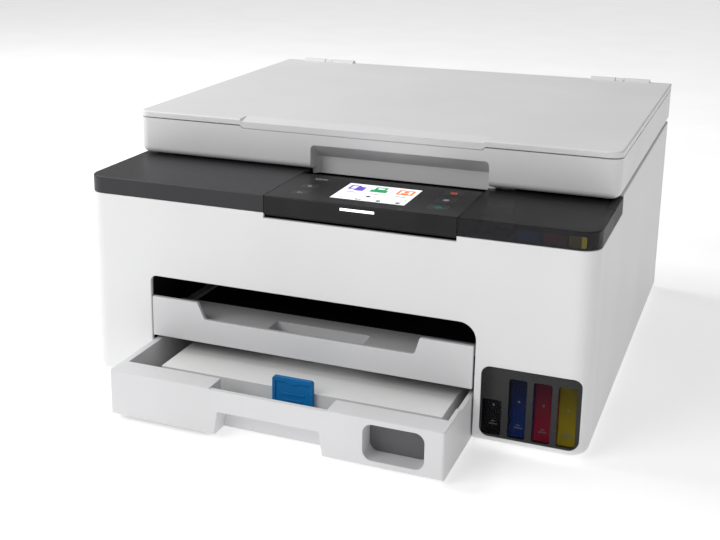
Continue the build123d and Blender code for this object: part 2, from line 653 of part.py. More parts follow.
def make_feed_roller():
    roller = rod_x(7.0, LEFT_WALL_X[1] + 0.6, RIGHT_WALL_X[0] - 0.6, FEED_Y, ROLLER_Z)
    return roller + rod_x(4.0, GEAR_X[0], RIGHT_WALL_X[1] + 1.4, FEED_Y, ROLLER_Z)


def make_eject_roller():
    roller = rod_x(3.0, GEAR_X[1] - 1, RIGHT_WALL_X[1] + 0.4, EJECT_Y, ROLLER_Z)
    for i in range(6):
        x = LEFT_WALL_X[1] + 18 + i * 38
        roller += rod_x(6.6, x, x + 14, EJECT_Y, ROLLER_Z)
    return roller + gear_on_x(40, *GEAR_X, EJECT_Y, ROLLER_Z, 2.9, 0)


def make_platen():
    x0, x1 = LEFT_WALL_X[1] + 0.4, RIGHT_WALL_X[0] - 0.4
    platen = block(x0, x1, -53, -2, 90, 97)
    platen -= block(x0 + 4, x1 - 4, -44, -14, 93, 98)
    for i in range(12):
        x = x0 + 12 + i * 19.8
        platen += block(x, x + 2, -53, -2, 96, 100.4)
    return platen


def make_main_rail():
    rail = block(-172, 172, 46, 47.6, FRAME_TOP, 147)
    rail += block(-172, 172, 24, 47, 116, 117.6)
    rail += block(-172, 172, 24, 25.6, 117, 124)
    rail += block(-172, 172, 46, 56, 146, 147.6)
    return rail - rod_y(4.2, 40, 50, PULLEY_X, BELT_Z)


def belt_loop(r):
    x, z = PULLEY_X, BELT_Z
    loop = block(-x, x, *BELT_Y, z - r, z + r)
    return loop + rod_y(r, *BELT_Y, x, z) + rod_y(r, *BELT_Y, -x, z)


def make_timing_belt():
    return belt_loop(PULLEY_R + 1.4) - belt_loop(PULLEY_R + 0.05)


def make_drive_pulley():
    y0, y1 = BELT_Y
    pulley = rod_y(PULLEY_R, y0 - 0.2, y1 + 0.2, PULLEY_X, BELT_Z)
    for a, b in ((y0 - 1.4, y0 - 0.2), (y1 + 0.2, y1 + 1.4)):
        pulley += rod_y(PULLEY_R + 1.8, a, b, PULLEY_X, BELT_Z)
    pulley += rod_y(2.0, y1, 56, PULLEY_X, BELT_Z)
    return pulley - rod_y(1.0, y0 - 2, y0 + 2, PULLEY_X, BELT_Z)


def make_idler_pulley():
    y0, y1 = BELT_Y
    pulley = rod_y(PULLEY_R, y0 - 0.2, y1 + 0.2, -PULLEY_X, BELT_Z)
    for a, b in ((y0 - 1.4, y0 - 0.2), (y1 + 0.2, y1 + 1.4)):
        pulley += rod_y(PULLEY_R + 1.8, a, b, -PULLEY_X, BELT_Z)
    return pulley + rod_y(2.0, y1, 45.6, -PULLEY_X, BELT_Z)


def make_carriage_motor():
    motor = rod_y(13.5, 57, 86, PULLEY_X, BELT_Z) + rod_y(6.0, 54.6, 57.5, PULLEY_X, BELT_Z)
    motor += block(PULLEY_X - 16, PULLEY_X + 16, 47.6, 49.2, BELT_Z - 13, BELT_Z + 13)
    for side in (-1, 1):
        x = PULLEY_X + side * 12
        motor += rod_y(1.6, 49, 58, x, BELT_Z)
    return motor - rod_y(2.0 + RUN, 40, 70, PULLEY_X, BELT_Z)


def make_carriage():
    """Print head carriage, parked at the right over its cap."""
    x0, x1 = CARRIAGE_X
    body = rounded(block(x0, x1, -44, 20, 106, 142), Axis.Z, 4)
    body -= block(x0 + 3, x1 - 3, -41, 17, 110, 143)
    body += block(x0 + 2, x1 - 2, -42, 18, 139.5, 146) - block(x0 + 6, x1 - 6, -36, 12, 138, 144)
    body += block(x0 + 12, x1 - 12, -36, -8, 102.8, 107)
    hook = block(x0 + 6, x1 - 6, 19, 29.2, 126, 129.6)
    hook += block(x0 + 6, x1 - 6, 26.4, 29.2, 119, 127)
    hook += block(x0 + 6, x1 - 6, 19, 23.2, 112, 128)
    clamp_x = (x0 + 26, x0 + 42)
    hook += block(*clamp_x, 29, 37.5, 123.2, BELT_Z - PULLEY_R - 1.8)
    hook += block(*clamp_x, 29, 30.6, 123.2, 129)
    return body + hook


def make_cap_sled():
    """Rubber-lipped cap that seals the parked print head."""
    sled = block(124, 160, -42, -12, 84, 97)
    for x0, x1 in ((126, 138), (141, 158)):
        sled += block(x0, x1, -38, -16, 96, 102.2) - block(x0 + 2, x1 - 2, -36, -18, 97, 103)
    for x in (128, 152):
        sled += block(x, x + 4, -30, -24, 14, 85)
    return sled


def make_feed_motor():
    y, z = MOTOR_SPOT
    motor = rod_x(14.0, -180, -156, y, z)
    motor += rod_x(5.0, -156, -154, y, z)
    motor += block(-154, -152.6, y - 16, y + 16, z - 16, z + 16)
    return motor - rod_x(1.5 + RUN, -170, -150, y, z)


def make_motor_pinion():
    y, z = MOTOR_SPOT
    phase = MESH_ANGLE + pi + pi / PINION_TEETH
    return gear_on_x(PINION_TEETH, *GEAR_X, y, z, 1.4, phase) + rod_x(1.5, -169, GEAR_X[1], y, z)


def make_main_board():
    board = block(181.0, 182.6, -48, 160, 26, 96)
    for y, z, w, h, t in ((0, 60, 26, 26, 2.4), (44, 70, 20, 14, 2), (44, 44, 14, 18, 9),
                          (90, 60, 30, 20, 6), (-34, 80, 10, 24, 7)):
        board += block(181.2 - t, 181.2, y, y + w, z, z + h)
    x0, x1, z0, z1 = USB_BOX
    board += block(x0, 181.5, 150, 158, z0, z1)
    board += block(x0, x1, 150, BACK - 1, z0, z1)
    return board - block(x0 + 2.4, x1 - 2.4, BACK - 12, BACK, z0 + 2.4, z1 - 2.4)


def make_power_supply():
    x0, x1 = SUPPLY_X
    box = block(x0, x1, 42, 150, 9, 62)
    box -= block(x0 + 1.2, x1 - 1.2, 43.2, 148.8, 10.2, 60.8)
    for i in range(8):
        y = 54 + 11 * i
        box -= block(x0 + 6, x1 - 6, y, y + 5, 60, 63)
    box += block(x0 + 1.1, x1 - 1.1, 46, 144, 14, 15.6)
    for y, r, h in ((64, 9, 26), (92, 7, 30)):
        box += rod_z(r, 15, 15 + h, (x0 + x1) / 2, y)
    return box + block(x0 + 4, x1 - 4, 112, 134, 15, 38)


def make_power_inlet():
    """Two-pin figure-eight socket."""
    x0, x1, z0, z1 = INLET_BOX
    inlet = block(x0, x1, 162, BACK - 0.6, z0, z1)
    xc, zc = (x0 + x1) / 2, (z0 + z1) / 2
    well = block(xc - 4.2, xc + 4.2, BACK - 16, BACK, zc - 4.2, zc + 4.2)
    for side in (-1, 1):
        well += rod_y(4.2, BACK - 16, BACK, xc + side * 4.2, zc)
    inlet -= well
    for side in (-1, 1):
        inlet += rod_y(1.2, BACK - 17, BACK - 4, xc + side * 4.2, zc)
    return inlet


# ---- cassette ------------------------------------------------------------------------
def make_cassette_tray():
    x0, x1 = CASSETTE_X
    z0, z1 = CASSETTE_Z
    y0, y1 = CASSETTE_FRONT, CASSETTE_BACK
    tray = block(x0, x1, y0, y1, z0, z1)
    front_edges = tray.edges().filter_by(Axis.Z).group_by(Axis.Y)[0]
    front_edges += tray.edges().filter_by(Axis.X).group_by(Axis.Y)[0].sort_by(Axis.Z)[:1]
    tray = fillet(front_edges, 1.8)
    tray = fillet(tray.edges().group_by(Axis.Z)[-1], 0.7)
    tray -= block(x0 + 5.2, x1 - 3.1, y0 + 18.2, y1 - 2.5, z0 + 2.6, z1 + 1)
    tray -= block(x0 - 1, x1 + 1, y1 - 3, y1 + 1, 28.4, z1 + 1)
    # low front lip between the two ledges
    tray -= block(-55.2, 30.5, y0 + 3.0, y0 + 19, 23.3, z1 + 1)
    tray -= block(-55.2, 30.5, y0 - 1, y0 + 19, z1 - 0.5, z1 + 1)
    tray -= block(x0 + 5.2, -57.6, y0 + 2.6, y0 + 15.6, z0 - 1, z1 - 2.4)
    # finger notch under the front and the pocket at the right
    notch = prism_y(((-52.0, z0 - 1), (-49.0, 20.7), (25.2, 20.7), (28.2, z0 - 1)), y0 - 1, y0 + 15.4)
    tray -= notch
    pocket = block(55.7, 97.2, y0 - 1, y0 + 15.4, 7.9, 33.2)
    tray -= rounded(pocket, Axis.Y, 6.5)
    tray -= block(x1 - 3.2, x1 + 1, -216, -160, z1 - 1.6, z1 + 1)
    return tray


def make_paper_stack():
    x0, x1 = PAPER_X - PAPER_W / 2, PAPER_X + PAPER_W / 2
    return block(x0, x1, PAPER_FRONT, PAPER_FRONT + PAPER_L, *PAPER_Z)


def make_side_guide(side):
    """Upright fence against one long edge of the paper."""
    edge = PAPER_X + side * (PAPER_W / 2 + 0.5)
    a, b = sorted((edge, edge + side * 2.4))
    fence = block(a, b, -150, 10, CASSETTE_Z[0] + 2.8, 34.5)
    foot_a, foot_b = sorted((edge, edge + side * 4.2))
    fence += block(foot_a, foot_b, -120, -40, CASSETTE_Z[0] + 2.8, 9)
    fence -= prism_x(((-151, 24), (-151, 36), (-138, 36)), a - 1, b + 1)
    return fence - prism_x(((11, 24), (11, 36), (-2, 36)), a - 1, b + 1)


def make_front_guide():
    """Blue end guide with a grip, against the paper's front edge."""
    x0, x1 = -22.4, 7.8
    y1 = PAPER_FRONT - 0.6
    guide = block(x0, x1, y1 - 3.2, y1, CASSETTE_Z[0] + 2.8, 39.2)
    guide = fillet(guide.edges().filter_by(Axis.Y).group_by(Axis.Z)[-1], 2.0)
    guide += block(x0, x1, y1 - 12, y1, CASSETTE_Z[0] + 2.8, 12)
    xc = (x0 + x1) / 2
    field = prism_y(((x0 + 2.4, 15), (x0 + 2.4, 36), (xc - 5, 36), (xc, 34.2), (xc + 5, 36),
                     (x1 - 2.4, 36), (x1 - 2.4, 15)), y1 - 4, y1 - 2.5)
    guide -= field
    for z, inset in ((22.5, 8), (27.0, 6.5)):
        guide += block(x0 + inset, x1 - inset, y1 - 3.1, y1 - 2, z, z + 1.0)
    return guide


# ---- output tray -------------------------------------------------------------------
def make_output_tray():
    """First stage, which runs on the frame's ledges."""
    x0, x1 = TRAY_X
    tray = block(x0, x1, -186.4, -2, 47.8, 50.2)
    for a, b in ((x0, x0 + 1.8), (x1 - 1.8, x1)):
        tray += block(a, b, -186.4, -2, 50, 59)
    return tray - block(GRIP_X[0] - 3, GRIP_X[1] + 3, -188, GRIP_Y[1] + 4, 47, 51)


def make_output_tray_front():
    """Second stage with the upright front plate and the finger notch."""
    x0, x1 = TRAY_X
    plate = block(x0, x1, FRONT + 0.3, FRONT + 3.3, 39.8, 70.6)
    plate = rounded(plate, Axis.Y, 0.8)
    notch = prism_y(((-98.6, 74), (-96.8, 70.6), (-91.0, 58.2), (69.2, 58.2), (72.6, 70.6), (73.6, 74)),
                    FRONT - 1, FRONT + 6)
    notch = fillet(notch.edges().filter_by(Axis.Y).group_by(Axis.Z)[0], 3.0)
    plate -= notch
    plate = fillet(plate.edges().filter_by(Axis.Y).filter_by_position(Axis.Z, 70.5, 70.7)
                   .filter_by_position(Axis.X, -100, 80), 1.5)
    plate = fillet(plate.edges().filter_by_position(Axis.Y, FRONT + 0.29, FRONT + 0.31), 0.5)
    z0, z1 = TRAY_FLOOR_Z
    floor = block(x0 + 2.2, x1 - 2.2, FRONT + 3, TRAY_FLOOR_BACK, z0, z1)
    floor -= block(x0 + 4, x1 - 4, FRONT + 5, TRAY_FLOOR_BACK - 2, z0 - 1, z1 - 2)
    for a, b in ((x0 + 2.2, x0 + 9), (x1 - 9, x1 - 2.2)):
        floor += block(a, b, TRAY_FLOOR_BACK - 1, -8, z0, z0 + 2.4)
    floor += block(x0 + 2.2, x1 - 2.2, -20, -8, z0, z0 + 1.6)
    floor += rounded(grip_block(1.5), Axis.Z, 4.5)
    floor -= rounded(grip_block(0), Axis.Z, 3.0)
    return plate + floor


def grip_block(grow):
    top = TRAY_FLOOR_Z[1] + (0 if grow else 1)
    return block(GRIP_X[0] - grow, GRIP_X[1] + grow, GRIP_Y[0] - grow, GRIP_Y[1] + grow, GRIP_Z - grow, top)


def main():
    os.makedirs("parts", exist_ok=True)
    shell = case_shell()
    left, right = make_side_covers(shell)
    save(make_front_cover(shell), "front_cover")
    save(left, "left_side_cover")
    save(right, "right_side_cover")
    save(make_rear_cover(shell), "rear_cover")
    save(make_rear_access_cover(), "rear_access_cover")
    save(make_bottom_case(), "bottom_case")
    save(make_rubber_feet(), "rubber_feet")
    save(make_case_screws(), "case_screws")
    save(make_left_top_cover(), "left_top_cover")
    save(make_ink_tank_cover(), "ink_tank_cover")
    save(make_top_deck(), "top_deck")
    save(make_operation_panel(), "operation_panel")
    save(make_lcd_screen(), "lcd_screen")
    save(make_status_light_bar(), "status_light_bar")
    for name, spot in BUTTONS.items():
        save(make_button(spot), name)
    save(make_ink_window(), "ink_window")
    save(make_tank(TANKS["black"]), "black_ink_tank")
    colour = make_tank(TANKS["blue"]) + make_tank(TANKS["magenta"]) + make_tank(TANKS["yellow"])
    save(colour, "colour_ink_tanks")
    for name, spot in TANKS.items():
        save(make_tank_cap(spot), "tank_cap_" + name)
    save(make_scanner_base(), "scanner_base")
    save(make_scanner_bezel(), "scanner_bezel")
    save(make_scanner_glass(), "scanner_glass")
    save(make_scan_bar(), "scan_bar")
    save(make_document_lid(), "document_lid")
    save(make_lid_pad(), "lid_pad")
    save(make_main_frame(), "main_frame")
    save(make_main_rail(), "main_rail")
    save(make_platen(), "platen")
    save(make_carriage(), "carriage")
    save(make_cap_sled(), "cap_sled")
    save(make_carriage_motor(), "carriage_motor")
    save(make_drive_pulley(), "drive_pulley")
    save(make_idler_pulley(), "idler_pulley")
    save(make_timing_belt(), "timing_belt")
    save(make_feed_motor(), "feed_motor")
    save(make_motor_pinion(), "motor_pinion")
    save(make_feed_roller(), "feed_roller")
    save(gear_on_x(40, *GEAR_X, FEED_Y, ROLLER_Z, 4.03, 0), "feed_gear")
    save(gear_on_x(30, *GEAR_X, IDLER_Y, ROLLER_Z, 3.0 + RUN, pi / 30), "idler_gear")
    save(make_eject_roller(), "eject_roller")
    save(make_pickup_arm(), "pickup_arm")
    save(make_pickup_roller(), "pickup_roller")
    save(make_main_board(), "main_board")
    save(make_power_supply(), "power_supply")
    save(make_power_inlet(), "power_inlet")
    save(make_cassette_tray(), "cassette_tray")
    save(make_paper_stack(), "paper_stack")
    save(make_side_guide(-1), "paper_guide_left")
    save(make_side_guide(1), "paper_guide_right")
    save(make_front_guide(), "paper_guide_front")
    save(make_output_tray(), "output_tray")
    save(make_output_tray_front(), "output_tray_front")


main()
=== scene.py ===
# %% [markdown]
# # Looks for an inkjet printer with ink tanks
# The shape, size and joints of this printer come from its CAD model. This file
# dresses that model: it gives every part a finish, models the small things a
# drawing leaves out, and sets up a plain studio. Nothing here moves a CAD part,
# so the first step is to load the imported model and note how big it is.

import math

import bmesh
import bpy
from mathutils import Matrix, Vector


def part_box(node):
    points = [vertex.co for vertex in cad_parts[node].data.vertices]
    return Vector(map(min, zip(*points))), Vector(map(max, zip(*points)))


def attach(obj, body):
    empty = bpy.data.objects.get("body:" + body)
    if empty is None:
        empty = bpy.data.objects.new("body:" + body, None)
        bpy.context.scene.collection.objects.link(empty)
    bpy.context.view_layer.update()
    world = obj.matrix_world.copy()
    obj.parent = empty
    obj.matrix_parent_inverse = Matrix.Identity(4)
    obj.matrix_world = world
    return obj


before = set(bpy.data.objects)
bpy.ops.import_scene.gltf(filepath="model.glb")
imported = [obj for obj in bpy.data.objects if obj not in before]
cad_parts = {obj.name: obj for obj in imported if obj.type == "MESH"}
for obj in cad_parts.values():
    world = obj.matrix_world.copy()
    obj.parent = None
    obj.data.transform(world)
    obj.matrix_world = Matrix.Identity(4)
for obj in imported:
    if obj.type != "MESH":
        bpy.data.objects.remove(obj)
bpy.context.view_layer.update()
MM = 0.001

# %% [markdown]
# Most positions are read from the CAD parts themselves, so a detail stays in
# its place when a part is redrawn. These few are used again and again.

# %% Places that the details are measured from
front_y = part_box("front_cover")[0].y
panel_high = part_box("operation_panel")[1]
lcd_low, lcd_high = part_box("lcd_screen")
tank_low, tank_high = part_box("colour_ink_tanks")
print("front face at", round(front_y / MM, 1), "mm, panel top at", round(panel_high.z / MM, 1), "mm")

# %% [markdown]
# ## Studio
# A printer of this kind is photographed on a white sheet with large soft lamps.
# A big pale floor and an even white world give the bright ground and the open
# shadows. One wide lamp stands high on the left and lights the top. A second
# one stands at the front left and lights the upright front faces. Standard
# colour keeps the whites white.

# %% Floor and world
def drop_selection():
    """Back to object mode with nothing selected."""
    if bpy.context.mode != "OBJECT":
        bpy.ops.object.mode_set(mode="OBJECT")
    bpy.ops.object.select_all(action="DESELECT")


FLOOR_SIZE = 12
WORLD_STRENGTH = 0.36
drop_selection()
bpy.ops.mesh.primitive_plane_add(size=FLOOR_SIZE, location=(0, 0, 0))
floor = bpy.context.object
floor.name = "studio_floor"

world = bpy.data.worlds.new("studio_world")
bpy.context.scene.world = world
world.use_nodes = True
world.node_tree.nodes["Background"].inputs["Color"].default_value = (1, 1, 1, 1)
world.node_tree.nodes["Background"].inputs["Strength"].default_value = WORLD_STRENGTH
bpy.context.scene.view_settings.view_transform = "Standard"
bpy.context.scene.view_settings.look = "None"
print("floor", floor.dimensions[0], "m wide")


# %% Soft lamps
def soft_lamp(name, place, aim, width, power):
    """A square soft box at a place, turned to a point."""
    lamp = bpy.data.lights.new(name, "AREA")
    lamp.shape = "SQUARE"
    lamp.size = width
    lamp.energy = power
    stand = bpy.data.objects.new(name, lamp)
    bpy.context.scene.collection.objects.link(stand)
    stand.location = place
    stand.rotation_euler = (Vector(aim) - Vector(place)).to_track_quat("-Z", "Y").to_euler()
    return stand


soft_lamp("lamp_above", (-1.15, 0.15, 1.35), (0, 0, 0.1), 1.0, 16)
soft_lamp("lamp_front", (-1.0, -1.6, 1.35), (0, 0, 0.12), 1.3, 17)

# %% [markdown]
# ## Camera
# The camera stands a little to the right of the printer's middle and above
# it, and looks down by about 15 degrees. A 58 mm lens keeps the upright
# edges calm. The small shift only places the printer in the frame, so the
# upright lines stay as they are.

# %% Camera
CAMERA_BACK = 0.7061
CAMERA_YAW = 0.41111
CAMERA_PITCH = 0.26073
eye = bpy.data.cameras.new("product_camera")
camera = bpy.data.objects.new("product_camera", eye)
bpy.context.scene.collection.objects.link(camera)
camera.location = (0.28526, front_y - CAMERA_BACK, 0.36954)
camera.rotation_euler = (math.radians(90) - CAMERA_PITCH, 0, CAMERA_YAW)
eye.sensor_width = 36
eye.lens = 58.11
eye.shift_x = 0.0972
eye.shift_y = -0.1111
eye.dof.use_dof = False
bpy.context.scene.camera = camera
print("camera at", [round(v, 3) for v in camera.location])

# %% [markdown]
# ## How the finishes are built
# Every finish starts from one Principled shader that reads Object coordinates,
# which are metres on this model. Two helpers do most of the work. One varies
# the colour a little over a large scale, because no moulding is one even
# colour. The other adds the fine grain that the mould leaves, as bump and as
# a small change of gloss.

# %% Start a finish
def new_finish(name, colour, gloss, metal=0.0):
    """A material with one Principled shader, and the tools to add nodes to it."""
    made = bpy.data.materials.new(name)
    made.use_nodes = True
    tree = made.node_tree
    shader = tree.nodes["Principled BSDF"]
    shader.inputs["Base Color"].default_value = (*colour, 1)
    shader.inputs["Roughness"].default_value = gloss
    shader.inputs["Metallic"].default_value = metal
    place = tree.nodes.new("ShaderNodeTexCoord")
    return made, tree, shader, place.outputs["Object"]


def blend_colours(tree, share, dark, light):
    """A colour between two, by a grey share from 0 to 1."""
    mix = tree.nodes.new("ShaderNodeMix")
    mix.data_type = "RGBA"
    tree.links.new(share, mix.inputs["Factor"])
    mix.inputs["A"].default_value = (*dark, 1)
    mix.inputs["B"].default_value = (*light, 1)
    return mix.outputs["Result"]


# %% Add a pattern to a finish
def cloud(tree, place, size, detail=2.0):
    """Soft noise whose patches are about this size in metres."""
    noise = tree.nodes.new("ShaderNodeTexNoise")
    noise.inputs["Scale"].default_value = 1 / size
    noise.inputs["Detail"].default_value = detail
    tree.links.new(place, noise.inputs["Vector"])
    return noise.outputs["Fac"]


def spread(tree, value, low, high, new_low, new_high):
    """Moves values from one range to another and holds them there."""
    ranged = tree.nodes.new("ShaderNodeMapRange")
    tree.links.new(value, ranged.inputs["Value"])
    for socket, number in zip(("From Min", "From Max", "To Min", "To Max"), (low, high, new_low, new_high)):
        ranged.inputs[socket].default_value = number
    return ranged.outputs["Result"]


def press_grain(tree, shader, height, depth, edge=0.0):
    """Turns a grey pattern into fine relief, over edges that are softly rounded."""
    bump = tree.nodes.new("ShaderNodeBump")
    bump.inputs["Distance"].default_value = depth
    bump.inputs["Strength"].default_value = 1.0
    tree.links.new(height, bump.inputs["Height"])
    if edge:
        rounding = tree.nodes.new("ShaderNodeBevel")
        rounding.samples = 4
        rounding.inputs["Radius"].default_value = edge
        tree.links.new(rounding.outputs["Normal"], bump.inputs["Normal"])
    tree.links.new(bump.outputs["Normal"], shader.inputs["Normal"])


print("finish helpers ready")

# %% [markdown]
# ## Moulded plastics
# The white case, the grey trays, the charcoal deck and the black inner parts
# are all moulded plastic with an eroded grain. They differ in colour, gloss
# and in how coarse the grain is, so one function makes them all. Two sizes of
# noise are mixed in the grain, because a single size looks like sandpaper.

# %% Moulded plastic
def moulded(name, colour, gloss, grain=0.0006, depth=0.000012, edge=0.0006, drift=0.03, shine=0.5):
    made, tree, shader, place = new_finish(name, colour, gloss)
    shader.inputs["Specular IOR Level"].default_value = shine
    patches = spread(tree, cloud(tree, place, 0.11), 0.3, 0.7, 0, 1)
    dark = [max(c * (1 - drift), 0) for c in colour]
    light = [min(c * (1 + drift), 1) for c in colour]
    tree.links.new(blend_colours(tree, patches, dark, light), shader.inputs["Base Color"])
    fine = cloud(tree, place, grain, 3.0)
    tree.links.new(spread(tree, fine, 0.3, 0.7, gloss - 0.05, gloss + 0.05), shader.inputs["Roughness"])
    press_grain(tree, shader, fine, depth, edge)
    return made


white_case = moulded("white_moulded_case", (0.79, 0.79, 0.795), 0.44, shine=0.35)
cassette_grey = moulded("cassette_moulded", (0.72, 0.72, 0.73), 0.46, shine=0.3)
tray_grey = moulded("tray_moulded", (0.70, 0.70, 0.71), 0.45, shine=0.3)
charcoal = moulded("charcoal_deck", (0.036, 0.036, 0.039), 0.42, grain=0.0008, depth=0.00003,
                   drift=0.08, shine=0.25)
inner_black = moulded("inner_black_plastic", (0.009, 0.009, 0.010), 0.5, depth=0.00003, drift=0.15, shine=0.2)
guide_grey = moulded("guide_grey_plastic", (0.48, 0.49, 0.50), 0.45)
guide_blue = moulded("guide_blue_plastic", (0.005, 0.17, 0.44), 0.36, grain=0.0012, drift=0.1, shine=0.2)
acetal = moulded("natural_acetal_gears", (0.74, 0.73, 0.67), 0.38, grain=0.0010, drift=0.05)
supply_black = moulded("supply_case_black", (0.035, 0.035, 0.037), 0.5, depth=0.00004, drift=0.1)
print("moulded plastics:", 9)

# %% [markdown]
# ## Polished and printed plastics
# The operation panel is almost black with a satin top that shows soft lamps.
# The ink window is a polished black frame. The keys are part of the panel
# and share its gloss. Faint streaks in the gloss stop them from looking like
# a flat black patch.

# %% Gloss black finishes
def polished(name, colour, gloss, streak=0.05, shine=0.5):
    made, tree, shader, place = new_finish(name, colour, gloss)
    patches = cloud(tree, place, 0.03, 4.0)
    lighter = [min(c * 1.5 + 0.002, 1) for c in colour]
    tree.links.new(blend_colours(tree, spread(tree, patches, 0.35, 0.65, 0, 1), colour, lighter),
                   shader.inputs["Base Color"])
    tree.links.new(spread(tree, patches, 0.3, 0.7, gloss, gloss + streak), shader.inputs["Roughness"])
    shader.inputs["Specular IOR Level"].default_value = shine
    press_grain(tree, shader, cloud(tree, place, 0.0009, 2.0), 0.000004, 0.0005)
    return made


panel_black = polished("panel_satin_black", (0.009, 0.009, 0.010), 0.3, shine=0.2)
key_black = polished("key_satin_black", (0.011, 0.011, 0.0125), 0.28, shine=0.28)
window_black = polished("window_polished_black", (0.007, 0.007, 0.008), 0.14, shine=0.35)
sensor_black = polished("sensor_black", (0.016, 0.016, 0.017), 0.45)
cap_paints = {
    "black": polished("cap_black_plastic", (0.018, 0.018, 0.02), 0.33),
    "blue": polished("cap_blue_plastic", (0.0, 0.11, 0.40), 0.33),
    "magenta": polished("cap_magenta_plastic", (0.42, 0.0, 0.10), 0.33),
    "yellow": polished("cap_yellow_plastic", (0.74, 0.58, 0.0), 0.33),
}
print("polished plastics:", 4 + len(cap_paints))

# %% [markdown]
# ## Clear and smoked plastics
# The tank cover is smoked: you can just see the coloured tabs under it. The
# ink tanks are clear, and the scanner has a sheet of float glass. A mix of a
# see-through shader and a glossy one gives these looks without the noise and
# the dark edges that thick refracting walls would bring at this size.

# %% See-through finishes
def see_through(name, colour, gloss, solid, grain=0.0, shine=0.5):
    """Alpha sets how much of the sheet's own colour stays."""
    made, tree, shader, place = new_finish(name, colour, gloss)
    patches = spread(tree, cloud(tree, place, 0.05), 0.3, 0.7, 0, 1)
    lighter = [min(c * 1.25 + 0.004, 1) for c in colour]
    tree.links.new(blend_colours(tree, patches, colour, lighter), shader.inputs["Base Color"])
    tree.links.new(spread(tree, patches, 0, 1, solid - 0.02, min(solid + 0.02, 1)), shader.inputs["Alpha"])
    shader.inputs["Specular IOR Level"].default_value = shine
    if grain > 0:
        press_grain(tree, shader, cloud(tree, place, 0.0008, 2.0), grain, 0.0005)
    return made


smoke_cover = see_through("smoked_tank_cover", (0.014, 0.014, 0.016), 0.36, 0.62, 0.000015, 0.25)
smoke_pane = see_through("smoked_window_pane", (0.002, 0.002, 0.003), 0.1, 0.3, shine=0.1)
clear_tank = see_through("clear_tank_plastic", (0.06, 0.06, 0.07), 0.12, 0.05, shine=0.1)
float_glass = see_through("scanner_float_glass", (0.55, 0.64, 0.62), 0.04, 0.18)
print("see-through finishes:", 4)

# %% [markdown]
# ## Metals, rubber, board and paper
# Shafts are ground, so their marks run round them. Sheet parts are zinc
# plated and show faint crystals. Rubber is matt with fine dust in it. A paper
# stack shows its sheets as thin lines along its edges, and this is what makes
# it read as a stack, so that pattern is a wave along the height. Its dark
# lines are partly the sheet edges and partly painted shade between sheets, and
# the sides of the stack are painted darker than its top as painted shade.

# %% Metals
def plated(name, colour, gloss, crystal=0.006):
    made, tree, shader, place = new_finish(name, colour, gloss, 1.0)
    cells = tree.nodes.new("ShaderNodeTexVoronoi")
    cells.inputs["Scale"].default_value = 1 / crystal
    tree.links.new(place, cells.inputs["Vector"])
    darker = [c * 0.82 for c in colour]
    speckled = blend_colours(tree, cells.outputs["Distance"], colour, darker)
    tree.links.new(speckled, shader.inputs["Base Color"])
    tree.links.new(spread(tree, cells.outputs["Distance"], 0, 1, gloss - 0.06, gloss + 0.08),
                   shader.inputs["Roughness"])
    press_grain(tree, shader, cloud(tree, place, 0.0007, 2.0), 0.000006)
    return made


def ground(name, colour, gloss):
    """Steel turned or ground along X, with marks that run round it."""
    made, tree, shader, place = new_finish(name, colour, gloss, 1.0)
    squeeze = tree.nodes.new("ShaderNodeMapping")
    squeeze.inputs["Scale"].default_value = (3500, 60, 60)
    tree.links.new(place, squeeze.inputs["Vector"])
    marks = cloud(tree, squeeze.outputs["Vector"], 1.0, 3.0)
    darker = [c * 0.75 for c in colour]
    tree.links.new(blend_colours(tree, marks, darker, colour), shader.inputs["Base Color"])
    tree.links.new(spread(tree, marks, 0.3, 0.7, gloss - 0.06, gloss + 0.1), shader.inputs["Roughness"])
    press_grain(tree, shader, marks, 0.000004)
    return made


sheet_zinc = plated("zinc_plated_sheet", (0.55, 0.56, 0.57), 0.36)
motor_can = plated("motor_plated_can", (0.42, 0.43, 0.44), 0.3, 0.012)
screw_zinc = plated("screw_zinc", (0.45, 0.45, 0.46), 0.34, 0.002)
shaft_steel = ground("ground_shaft_steel", (0.58, 0.58, 0.59), 0.25)
print("metals:", 4)


# %% Rubber, foam, board and paper
def rubber(name, colour):
    made, tree, shader, place = new_finish(name, colour, 0.75)
    dust = spread(tree, cloud(tree, place, 0.004, 6.0), 0.45, 0.75, 0, 1)
    dusty = [c * 1.8 + 0.01 for c in colour]
    tree.links.new(blend_colours(tree, dust, colour, dusty), shader.inputs["Base Color"])
    press_grain(tree, shader, cloud(tree, place, 0.0005, 4.0), 0.00005)
    return made


def foam(name, colour):
    made, tree, shader, place = new_finish(name, colour, 0.8)
    pores = cloud(tree, place, 0.0009, 5.0)
    darker = [c * 0.93 for c in colour]
    tree.links.new(blend_colours(tree, pores, darker, colour), shader.inputs["Base Color"])
    press_grain(tree, shader, pores, 0.00008)
    return made


def circuit(name):
    made, tree, shader, place = new_finish(name, (0.01, 0.09, 0.035), 0.35)
    tracks = tree.nodes.new("ShaderNodeTexBrick")
    tracks.inputs["Scale"].default_value = 90
    tracks.inputs["Mortar Size"].default_value = 0.05
    tracks.inputs["Color1"].default_value = (0.008, 0.075, 0.03, 1)
    tracks.inputs["Color2"].default_value = (0.012, 0.10, 0.04, 1)
    tracks.inputs["Mortar"].default_value = (0.03, 0.17, 0.07, 1)
    turned = tree.nodes.new("ShaderNodeMapping")
    turned.inputs["Rotation"].default_value = (0, math.radians(90), 0)
    tree.links.new(place, turned.inputs["Vector"])
    tree.links.new(turned.outputs["Vector"], tracks.inputs["Vector"])
    tree.links.new(tracks.outputs["Color"], shader.inputs["Base Color"])
    press_grain(tree, shader, tracks.outputs["Fac"], 0.00002)
    return made


